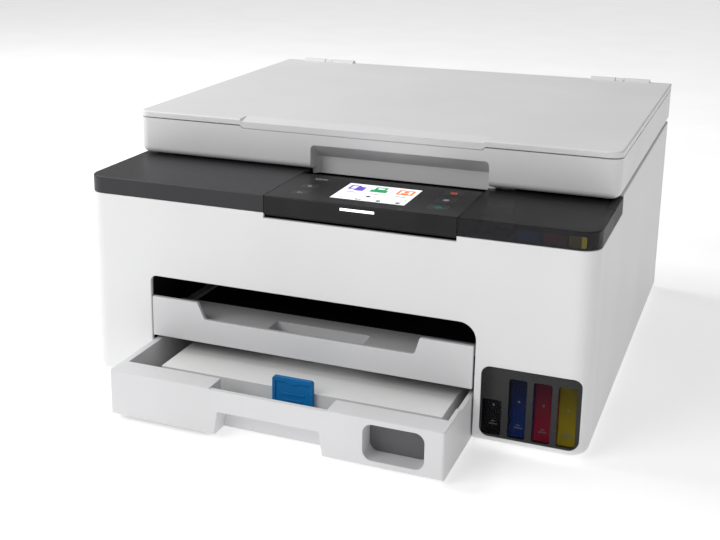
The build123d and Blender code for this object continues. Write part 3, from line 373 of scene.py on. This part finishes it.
def paper(name):
    made, tree, shader, place = new_finish(name, (0.86, 0.86, 0.85), 0.72)
    sheets = tree.nodes.new("ShaderNodeTexWave")
    sheets.bands_direction = "Z"
    sheets.inputs["Scale"].default_value = 560
    sheets.inputs["Distortion"].default_value = 1.5
    sheets.inputs["Detail"].default_value = 1.0
    tree.links.new(place, sheets.inputs["Vector"])
    normal = tree.nodes.new("ShaderNodeNewGeometry")
    parts = tree.nodes.new("ShaderNodeSeparateXYZ")
    tree.links.new(normal.outputs["Normal"], parts.inputs["Vector"])
    # Painted shade: the sides get a darker colour than the top, and the wave paints shade lines between the
    # sheets.
    on_top = spread(tree, parts.outputs["Z"], 0.4, 0.6, 0, 1)
    edge_painted_shade = blend_colours(tree, sheets.outputs["Fac"], (0.62, 0.62, 0.61), (0.86, 0.86, 0.85))
    mix = tree.nodes.new("ShaderNodeMix")
    mix.data_type = "RGBA"
    tree.links.new(on_top, mix.inputs["Factor"])
    tree.links.new(edge_painted_shade, mix.inputs["A"])
    fibres = spread(tree, cloud(tree, place, 0.0012, 5.0), 0.3, 0.7, 0, 1)
    tree.links.new(blend_colours(tree, fibres, (0.85, 0.85, 0.84), (0.89, 0.89, 0.885)), mix.inputs["B"])
    tree.links.new(mix.outputs["Result"], shader.inputs["Base Color"])
    press_grain(tree, shader, cloud(tree, place, 0.0008, 4.0), 0.00001)
    return made


rubber_black = rubber("black_rubber", (0.016, 0.016, 0.016))
rubber_grey = rubber("grey_rubber", (0.06, 0.06, 0.062))
pad_foam = foam("white_foam_pad", (0.84, 0.84, 0.83))
green_board = circuit("green_circuit_board")
office_paper = paper("office_paper_stack")
print("soft and sheet finishes:", 5)

# %% [markdown]
# ## Things that give light
# The status bar and the display are lit from behind. A lit part still has a
# surface, so each keeps its Principled shader and only its emission is turned
# up, a little uneven as a real light guide is.

# %% Lit finishes
def lit(name, colour, strength, fall=0.2):
    made, tree, shader, place = new_finish(name, colour, 0.3)
    uneven = spread(tree, cloud(tree, place, 0.012), 0.3, 0.7, 1 - fall, 1)
    darker = [c * (1 - fall) for c in colour]
    tree.links.new(blend_colours(tree, uneven, darker, colour), shader.inputs["Emission Color"])
    shader.inputs["Emission Strength"].default_value = strength
    return made


light_guide = lit("status_light_guide", (1.0, 1.0, 1.0), 1.6, 0.1)
display_black = polished("display_border_black", (0.006, 0.006, 0.007), 0.1)
picture_white = lit("display_picture_white", (0.96, 0.97, 1.0), 0.42, 0.06)
picture_grey = lit("display_picture_grey", (0.30, 0.31, 0.34), 0.4)
picture_dark = lit("display_picture_dark", (0.03, 0.03, 0.05), 0.3)
picture_violet = lit("display_picture_violet", (0.11, 0.06, 0.42), 0.75)
picture_green = lit("display_picture_green", (0.005, 0.26, 0.09), 0.75)
picture_orange = lit("display_picture_orange", (0.72, 0.16, 0.03), 0.75)
print("lit finishes:", 8)

# %% [markdown]
# ## Give every CAD part its finish
# A CAD part's material sits in the slots of its object. The table pairs each
# part with the finish its real piece has.

# %% Finishes on the CAD parts
finish_of = {
    "front_cover": white_case, "left_side_cover": white_case, "right_side_cover": white_case,
    "rear_cover": white_case, "rear_access_cover": white_case, "bottom_case": white_case,
    "scanner_base": white_case, "scanner_bezel": white_case, "document_lid": white_case,
    "rubber_feet": rubber_grey, "case_screws": screw_zinc, "left_top_cover": charcoal,
    "ink_tank_cover": smoke_cover, "top_deck": inner_black, "operation_panel": panel_black,
    "lcd_screen": display_black, "status_light_bar": light_guide, "ink_window": window_black,
    "black_ink_tank": clear_tank, "colour_ink_tanks": clear_tank, "scanner_glass": float_glass,
    "scan_bar": sensor_black, "lid_pad": pad_foam, "main_frame": inner_black,
    "main_rail": sheet_zinc, "platen": inner_black, "carriage": inner_black,
    "cap_sled": rubber_black, "carriage_motor": motor_can, "drive_pulley": acetal,
    "idler_pulley": acetal, "timing_belt": rubber_black, "feed_motor": motor_can,
    "motor_pinion": acetal, "feed_roller": shaft_steel, "feed_gear": acetal,
    "idler_gear": acetal, "eject_roller": rubber_black, "pickup_arm": inner_black,
    "pickup_roller": rubber_grey, "main_board": green_board, "power_supply": supply_black,
    "power_inlet": inner_black, "cassette_tray": cassette_grey, "paper_stack": office_paper,
    "paper_guide_left": guide_grey, "paper_guide_right": guide_grey,
    "paper_guide_front": guide_blue, "output_tray": inner_black, "output_tray_front": tray_grey,
}
for colour, paint in cap_paints.items():
    finish_of["tank_cap_" + colour] = paint
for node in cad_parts:
    if node.startswith("button_"):
        finish_of[node] = key_black
for node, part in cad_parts.items():
    part.data.materials.clear()
    part.data.materials.append(finish_of[node])
studio_paper = moulded("studio_paper", (0.88, 0.88, 0.88), 0.9, depth=0.0, edge=0)
studio_paper.node_tree.nodes["Principled BSDF"].inputs["Emission Color"].default_value = (1, 1, 1, 1)
studio_paper.node_tree.nodes["Principled BSDF"].inputs["Emission Strength"].default_value = 0.42
floor.data.materials.append(studio_paper)
print("finishes given to", len(finish_of), "CAD parts")

# %% [markdown]
# ## Modelling helpers
# New pieces are modelled as by hand: a primitive is added at its size and
# place, shaped in edit mode, then cleaned up. These helpers hold the steps
# that every piece shares, so the cells below can stay short.

# %% Start a piece and choose parts of it
def start_plate(name, low, high):
    """A block between two corners, to be shaped further."""
    drop_selection()
    low, high = Vector(low), Vector(high)
    bpy.ops.mesh.primitive_cube_add(size=1, location=(low + high) / 2, scale=high - low)
    return settle(name)


def settle(name):
    """Names the new object and puts its place and size in its mesh."""
    piece = bpy.context.object
    piece.name = piece.data.name = name
    bpy.ops.object.transform_apply(location=True, rotation=True, scale=True)
    return piece


def choose(piece, kind, test):
    """Edit mode, with only the faces or edges that pass the test selected."""
    bpy.context.view_layer.objects.active = piece
    bpy.ops.object.mode_set(mode="EDIT")
    bpy.ops.mesh.select_mode(type=kind)
    bpy.ops.mesh.select_all(action="DESELECT")
    work = bmesh.from_edit_mesh(piece.data)
    for item in work.faces if kind == "FACE" else work.edges:
        if test(item):
            item.select_set(True)
    bmesh.update_edit_mesh(piece.data)


def upright(edge):
    a, b = (v.co for v in edge.verts)
    return abs((b - a).normalized().z) > 0.99


def along_y(edge):
    a, b = (v.co for v in edge.verts)
    return abs((b - a).normalized().y) > 0.99


# %% Finish a piece
def use_modifier(piece, kind, **settings):
    """Adds a modifier and applies it at once."""
    drop_selection()
    bpy.context.view_layer.objects.active = piece
    piece.select_set(True)
    made = piece.modifiers.new(kind.title(), kind)
    for key, value in settings.items():
        setattr(made, key, value)
    bpy.ops.object.modifier_apply(modifier=made.name)


def join_as(name, pieces):
    """Several meshes become one piece."""
    drop_selection()
    for piece in pieces:
        piece.select_set(True)
    bpy.context.view_layer.objects.active = pieces[0]
    bpy.ops.object.join()
    pieces[0].name = pieces[0].data.name = name
    return pieces[0]


def hand_over(piece, body, finish):
    """Smooth shading, finish and the body that the piece rides on."""
    drop_selection()
    bpy.context.view_layer.objects.active = piece
    piece.select_set(True)
    bpy.ops.object.shade_smooth_by_angle(angle=math.radians(35))
    piece.data.materials.clear()
    piece.data.materials.append(finish)
    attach(piece, body)
    print(piece.name, "rides on", body, "with", len(piece.data.polygons), "faces")


# %% [markdown]
# ## Printed marks
# The signs on the keys and the picture on the display are thin layers. A flat
# mark starts as a plane or a circle, gets rounded corners or a cut-out in edit
# mode, and is then thickened by a few hundredths of a millimetre. That is
# enough to lie on top without flicker, and it still looks printed.

# %% Flat marks
MARK = 0.04 * MM


def thicken(piece):
    use_modifier(piece, "SOLIDIFY", thickness=MARK, offset=1)
    return piece


def round_mark(centre, radius, line=0.0, gap=0.0):
    """A dot, or a ring when a line width is given, open towards +Y by a gap angle."""
    drop_selection()
    bpy.ops.mesh.primitive_circle_add(vertices=32, radius=radius, fill_type="NGON", location=centre)
    piece = settle("round_mark")
    if line:
        choose(piece, "FACE", lambda f: True)
        bpy.ops.mesh.inset(thickness=line, use_relative_offset=False)
        bpy.ops.mesh.delete(type="FACE")
        if gap:
            middle = Vector(centre)
            choose(piece, "FACE", lambda f: (f.calc_center_median() - middle).angle(Vector((0, 1, 0))) < gap)
            bpy.ops.mesh.delete(type="FACE")
    else:
        choose(piece, "FACE", lambda f: True)
        bpy.ops.mesh.inset(thickness=radius * 0.2, use_relative_offset=False)
    drop_selection()
    return thicken(piece)


def plate_mark(centre, width, depth, corner, line=0.0):
    """A rounded rectangle, or its outline when a line width is given."""
    drop_selection()
    bpy.ops.mesh.primitive_plane_add(size=1, location=centre)
    bpy.context.object.scale = (width, depth, 1)
    piece = settle("plate_mark")
    choose(piece, "FACE", lambda f: True)
    bpy.ops.mesh.bevel(offset=corner, segments=5, affect="VERTICES", clamp_overlap=True)
    choose(piece, "FACE", lambda f: True)
    border = line or min(0.1 * width, 0.1 * depth, 0.7 * corner)
    bpy.ops.mesh.inset(thickness=border, use_relative_offset=False)
    if line:
        bpy.ops.mesh.delete(type="FACE")
    drop_selection()
    return thicken(piece)


def turned_mark(piece, centre, degrees):
    """The mark turned flat about its centre."""
    choose(piece, "FACE", lambda f: True)
    bpy.ops.transform.rotate(value=math.radians(degrees), orient_axis="Z", center_override=centre)
    drop_selection()
    return piece


print("flat mark tools ready, layer", MARK / MM, "mm")

# %% [markdown]
# ## Display picture
# The display shows a white page with three coloured pictures in a row, a
# short line under each, and a few small dark symbols below. On the real one
# the pictures are signs for copying, printing and photos. Here they are plain
# generic shapes built from a few marks each, and words are short bars.

# %% Display page
lcd_size = lcd_high - lcd_low


def on_display(u, v, lift):
    """A point on the display: u runs left to right, v front to back."""
    return (lcd_low.x + u * lcd_size.x, lcd_low.y + v * lcd_size.y, lcd_high.z + lift * MARK)


page = plate_mark(on_display(0.5, 0.5, 0.3), lcd_size.x - 0.6 * MM, lcd_size.y - 0.6 * MM, 0.4 * MM)
page.name = page.data.name = "display_page"
hand_over(page, "panel", picture_white)

lines = [plate_mark(on_display(u, 0.69, 3.0), 0.25 * MM, 0.5 * lcd_size.y, 0.1 * MM) for u in (0.327, 0.655)]
for u, width in ((0.17, 6.5), (0.48, 5.5), (0.83, 8.0)):
    lines.append(plate_mark(on_display(u, 0.455, 3.0), width * MM, 1.3 * MM, 0.5 * MM))
lines.append(plate_mark(on_display(0.115, 0.13, 3.0), 3.6 * MM, 1.4 * MM, 0.5 * MM))
lines.append(plate_mark(on_display(0.535, 0.28, 3.0), 2.2 * MM, 1.2 * MM, 0.5 * MM))
lines.append(plate_mark(on_display(0.945, 0.27, 3.0), 1.4 * MM, 2.4 * MM, 0.5 * MM))
hand_over(join_as("display_page_lines", lines), "panel", picture_grey)

symbols = []
for u, v in ((0.448, 0.28), (0.633, 0.085), (0.888, 0.09)):
    symbols.append(round_mark(on_display(u, v, 3.0), 1.7 * MM))
symbols.append(round_mark(on_display(0.37, 0.085, 3.0), 2.1 * MM, 0.8 * MM, 1.2))
hand_over(join_as("display_small_symbols", symbols), "panel", picture_dark)

# %% Display pictures
copy_sign = [
    plate_mark(on_display(0.135, 0.745, 3.0), 7.6 * MM, 10.6 * MM, 0.8 * MM, 1.6 * MM),
    plate_mark(on_display(0.225, 0.685, 4.2), 6.6 * MM, 10.2 * MM, 0.8 * MM),
]
hand_over(join_as("display_copy_sign", copy_sign), "panel", picture_violet)
print_sign = [
    plate_mark(on_display(0.485, 0.655, 3.0), 12.4 * MM, 6.0 * MM, 1.2 * MM),
    plate_mark(on_display(0.485, 0.81, 3.0), 8.6 * MM, 7.2 * MM, 0.8 * MM, 1.7 * MM),
]
hand_over(join_as("display_print_sign", print_sign), "panel", picture_green)
photo_sign = [
    plate_mark(on_display(0.835, 0.73, 3.0), 11.6 * MM, 12.2 * MM, 0.8 * MM, 1.6 * MM),
    round_mark(on_display(0.835, 0.775, 3.0), 1.9 * MM),
    plate_mark(on_display(0.835, 0.665, 3.0), 5.6 * MM, 3.0 * MM, 1.3 * MM),
]
hand_over(join_as("display_photo_sign", photo_sign), "panel", picture_orange)

# %% [markdown]
# ## Key signs
# Three keys on each side of the display carry thin printed signs: power, home
# and back on the left, stop and the two starts on the right. Each sign rides
# on its own key, so it goes down when the key is pressed. The key outlines
# are printed too, as the real keys have no visible edge.

# %% Ink for the signs
def printed(name, colour):
    made, tree, shader, place = new_finish(name, colour, 0.5)
    worn = spread(tree, cloud(tree, place, 0.0011, 4.0), 0.3, 0.7, 0, 1)
    tree.links.new(blend_colours(tree, worn, [c * 0.8 for c in colour], colour), shader.inputs["Base Color"])
    press_grain(tree, shader, cloud(tree, place, 0.0006), 0.000004)
    return made


sign_grey = printed("sign_print_grey", (0.58, 0.58, 0.60))
outline_grey = printed("sign_print_faint", (0.075, 0.075, 0.08))
sign_orange = printed("sign_print_orange", (0.75, 0.12, 0.03))
sign_teal = printed("sign_print_teal", (0.0, 0.34, 0.28))


def key_spot(key, dx=0.0, dy=0.0):
    """A point on a key's top, moved from its middle by millimetres."""
    low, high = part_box(key)
    return ((low.x + high.x) / 2 + dx * MM, (low.y + high.y) / 2 + dy * MM, high.z + 0.2 * MARK)


def key_outline(key):
    low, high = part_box(key)
    size = high - low
    ring = plate_mark(key_spot(key), size.x - 1.4 * MM, size.y - 2.4 * MM, 2.6 * MM, 0.35 * MM)
    ring.name = ring.data.name = "outline_" + key[len("button_"):]
    hand_over(ring, key, outline_grey)


for key in ("button_back", "button_home", "button_black_start", "button_colour_start"):
    key_outline(key)

# %% Signs on the left keys
power = [
    round_mark(key_spot("button_power", -1.5, 0.5), 2.3 * MM, 0.5 * MM, 0.7),
    plate_mark(key_spot("button_power", -1.5, 2.2), 0.5 * MM, 2.4 * MM, 0.2 * MM),
    plate_mark(key_spot("button_power", 3.4, 0.3), 4.0 * MM, 1.1 * MM, 0.4 * MM),
]
hand_over(join_as("sign_power", power), "button_power", sign_grey)
house = [
    turned_mark(plate_mark(key_spot("button_back"), 2.4 * MM, 2.4 * MM, 0.4 * MM, 0.5 * MM),
                key_spot("button_back"), 45),
    plate_mark(key_spot("button_back", 0.0, -1.5), 2.6 * MM, 0.6 * MM, 0.25 * MM),
]
hand_over(join_as("sign_home", house), "button_back", sign_grey)
arrow = [
    plate_mark(key_spot("button_home", 0.4, 0), 3.4 * MM, 0.55 * MM, 0.2 * MM),
    turned_mark(plate_mark(key_spot("button_home", -1.0, 0.6), 1.9 * MM, 0.55 * MM, 0.2 * MM),
                key_spot("button_home", -1.0, 0.6), 40),
    turned_mark(plate_mark(key_spot("button_home", -1.0, -0.6), 1.9 * MM, 0.55 * MM, 0.2 * MM),
                key_spot("button_home", -1.0, -0.6), -40),
]
hand_over(join_as("sign_back", arrow), "button_home", sign_grey)

# %% Signs on the right keys
stop = [
    plate_mark(key_spot("button_stop", 0, -0.6), 4.6 * MM, 4.6 * MM, 1.3 * MM, 1.0 * MM),
    plate_mark(key_spot("button_stop", 0, -0.6), 1.6 * MM, 1.6 * MM, 0.4 * MM),
]
hand_over(join_as("sign_stop", stop), "button_stop", sign_orange)
for key, name, finish in (("button_black_start", "sign_black_start", sign_grey),
                          ("button_colour_start", "sign_colour_start", sign_teal)):
    start = [
        round_mark(key_spot(key), 2.1 * MM, 0.5 * MM),
        round_mark(key_spot(key), 0.9 * MM),
    ]
    if finish is sign_teal:
        diamond = plate_mark(key_spot(key), 4.6 * MM, 4.6 * MM, 0.8 * MM, 0.7 * MM)
        start.append(turned_mark(diamond, key_spot(key), 45))
    hand_over(join_as(name, start), key, finish)

# %% [markdown]
# ## Ink in the tanks
# The four tanks are clear shells. Each holds a body of ink that starts as a
# block inside the tank's walls. Its edges are rounded like the tank's inside,
# and its top face is inset and pulled down, because ink climbs the walls a
# little. The ink colour is painted darker towards the top and brighter towards
# the bottom, as painted light coming through the thin front, and the ink also
# glows a little, which is painted light too.

# %% Ink finish
def ink(name, deep, bright, low, high):
    made, tree, shader, place = new_finish(name, bright, 0.5)
    shader.inputs["Specular IOR Level"].default_value = 0.1
    split = tree.nodes.new("ShaderNodeSeparateXYZ")
    tree.links.new(place, split.inputs["Vector"])
    # Painted light: the colour is brighter lower down, as if more light came through the thin front.
    height = spread(tree, split.outputs["Z"], low * MM, high * MM, 1, 0)
    swirl = tree.nodes.new("ShaderNodeMath")
    swirl.operation = "MULTIPLY_ADD"
    tree.links.new(cloud(tree, place, 0.012, 3.0), swirl.inputs[0])
    swirl.inputs[1].default_value = 0.25
    tree.links.new(height, swirl.inputs[2])
    painted_glow_tone = blend_colours(tree, spread(tree, swirl.outputs["Value"], 0.1, 1.1, 0, 1), deep, bright)
    tree.links.new(painted_glow_tone, shader.inputs["Base Color"])
    # The same colour is also the emission, so the ink glows a little as painted light.
    tree.links.new(painted_glow_tone, shader.inputs["Emission Color"])
    shader.inputs["Emission Strength"].default_value = 0.25
    return made


inks = {
    "black": ink("ink_black", (0.001, 0.001, 0.0012), (0.002, 0.002, 0.0025), 10, 36),
    "blue": ink("ink_blue", (0.0, 0.004, 0.05), (0.0, 0.03, 0.22), 12, 46),
    "magenta": ink("ink_magenta", (0.10, 0.0, 0.014), (0.42, 0.0, 0.03), 12, 46),
    "yellow": ink("ink_yellow", (0.20, 0.15, 0.0), (0.55, 0.42, 0.0), 12, 46),
}
print("inks:", len(inks))

# %% Ink bodies
WALL = 1.5 * MM
black_low, black_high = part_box("black_ink_tank")
tank_wide = (tank_high.x - tank_low.x - 1.2 * MM) / 3
tank_spans = {"black": (black_low.x, black_high.x, black_high.y)}
for i, colour in enumerate(("blue", "magenta", "yellow")):
    left = tank_low.x + i * (tank_wide + 0.6 * MM)
    tank_spans[colour] = (left, left + tank_wide, tank_high.y)


def fill_tank(colour, level):
    left, right, back = tank_spans[colour]
    low = (left + WALL, tank_low.y + WALL, tank_low.z + 1.7 * MM)
    body = start_plate("ink_" + colour, low, (right - WALL, back - WALL, level))
    choose(body, "EDGE", upright)
    bpy.ops.mesh.bevel(offset=1.2 * MM, segments=4)
    choose(body, "FACE", lambda f: f.normal.z > 0.9)
    bpy.ops.mesh.inset(thickness=0.8 * MM)
    bpy.ops.transform.translate(value=(0, 0, -0.5 * MM))
    hand_over(body, "chassis", inks[colour])


for colour, level in (("black", 42), ("blue", 70), ("magenta", 64), ("yellow", 76)):
    fill_tank(colour, level * MM)

# %% [markdown]
# ## Ink window
# Behind the polished frame the level windows are smoked, flush with the
# frame, and each tank has a small round mark and two short bars moulded on
# its front, for the upper and the lower level.

# %% Smoked panes in the window
window_slots = ((117.6, 130.6, 35.4), (135.2, 146.9, 52.2), (151.3, 163.4, 52.2), (167.4, 179.5, 52.2))
panes = []
for left, right, top in window_slots:
    pane = start_plate("pane", ((left + 0.05) * MM, front_y + 0.5 * MM, 10.25 * MM),
                       ((right - 0.05) * MM, front_y + 1.7 * MM, (top - 0.05) * MM))
    choose(pane, "EDGE", along_y)
    bpy.ops.mesh.bevel(offset=1.45 * MM, segments=6)
    choose(pane, "FACE", lambda f: f.normal.y < -0.9)
    bpy.ops.mesh.inset(thickness=0.4 * MM)
    bpy.ops.transform.translate(value=(0, -0.2 * MM, 0))
    drop_selection()
    panes.append(pane)
hand_over(join_as("window_panes", panes), "chassis", smoke_pane)

# %% Level marks on the tanks
marks = []
for left, right, top in window_slots:
    middle = (left + right) / 2 * MM
    mark_z = (top - 0.43 * (top - 10.2) if top > 40 else 29) * MM
    face_y = tank_low.y - 0.02 * MM
    drop_selection()
    bpy.ops.mesh.primitive_cylinder_add(vertices=20, radius=0.75 * MM, depth=0.3 * MM,
                                        location=(middle, face_y, mark_z), rotation=(math.radians(90), 0, 0))
    dot = settle("level_dot")
    choose(dot, "FACE", lambda f: f.normal.y < -0.9)
    bpy.ops.mesh.inset(thickness=0.25 * MM)
    bpy.ops.transform.translate(value=(0, 0.1 * MM, 0))
    drop_selection()
    marks.append(dot)
    for bar_z, wide in ((17.2, 2.6), (15.2, 5.6)):
        bar = start_plate("level_bar", (middle - wide * MM / 2, face_y - 0.15 * MM, (bar_z - 0.45) * MM),
                          (middle + wide * MM / 2, face_y + 0.15 * MM, (bar_z + 0.45) * MM))
        choose(bar, "EDGE", along_y)
        bpy.ops.mesh.bevel(offset=0.4 * MM, segments=3)
        drop_selection()
        marks.append(bar)
mark_print = printed("level_mark_print", (0.34, 0.36, 0.40))
hand_over(join_as("tank_level_marks", marks), "chassis", mark_print)

# %% [markdown]
# ## Dark plate painting shade in the cassette's grip pocket
# The pocket at the right of the cassette's front has a dark plate at its back,
# which paints the shade deep in the pocket. It is a thin block with the pocket's
# rounded corners, and its face is inset and pushed in a little.

# %% Pocket plate painting shade
cassette_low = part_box("cassette_tray")[0]
shade_plate_y = cassette_low.y + 15.3 * MM
pocket_shade_plate = start_plate("pocket_painted_shade_plate", (55.9 * MM, shade_plate_y - 0.9 * MM, 8.1 * MM),
                     (97.0 * MM, shade_plate_y, 33.0 * MM))
choose(pocket_shade_plate, "EDGE", along_y)
bpy.ops.mesh.bevel(offset=6.3 * MM, segments=8)
choose(pocket_shade_plate, "FACE", lambda f: f.normal.y < -0.9)
bpy.ops.mesh.inset(thickness=1.2 * MM)
bpy.ops.transform.translate(value=(0, 0.4 * MM, 0))
# A dark grey colour that paints the shade in the pocket's depth.
painted_shade_grey = moulded("pocket_painted_shade_grey", (0.14, 0.14, 0.145), 0.5, shine=0.3)
hand_over(pocket_shade_plate, "cassette", painted_shade_grey)

# %% [markdown]
# ## Colour tabs under the smoked cover
# A coloured tab behind the cover's front edge shows which tank is where. Each
# is a thin plate with rounded corners, stuck to the inside of the cover.

# %% Colour tabs
cover_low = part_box("ink_tank_cover")[0]
tab_spans = {"blue": (134.0, 149.5), "magenta": (151.5, 166.0), "yellow": (167.5, 178.5)}
for colour, (left, right) in tab_spans.items():
    tab = start_plate("tab_" + colour, (left * MM, cover_low.y + 2.5 * MM, cover_low.z + 0.6 * MM),
                      (right * MM, cover_low.y + 3.1 * MM, cover_low.z + 8.2 * MM))
    choose(tab, "EDGE", along_y)
    bpy.ops.mesh.bevel(offset=1.2 * MM, segments=4)
    choose(tab, "FACE", lambda f: abs(f.normal.y) > 0.9)
    bpy.ops.mesh.inset(thickness=0.3 * MM)
    hand_over(tab, "ink_cover", cap_paints[colour])
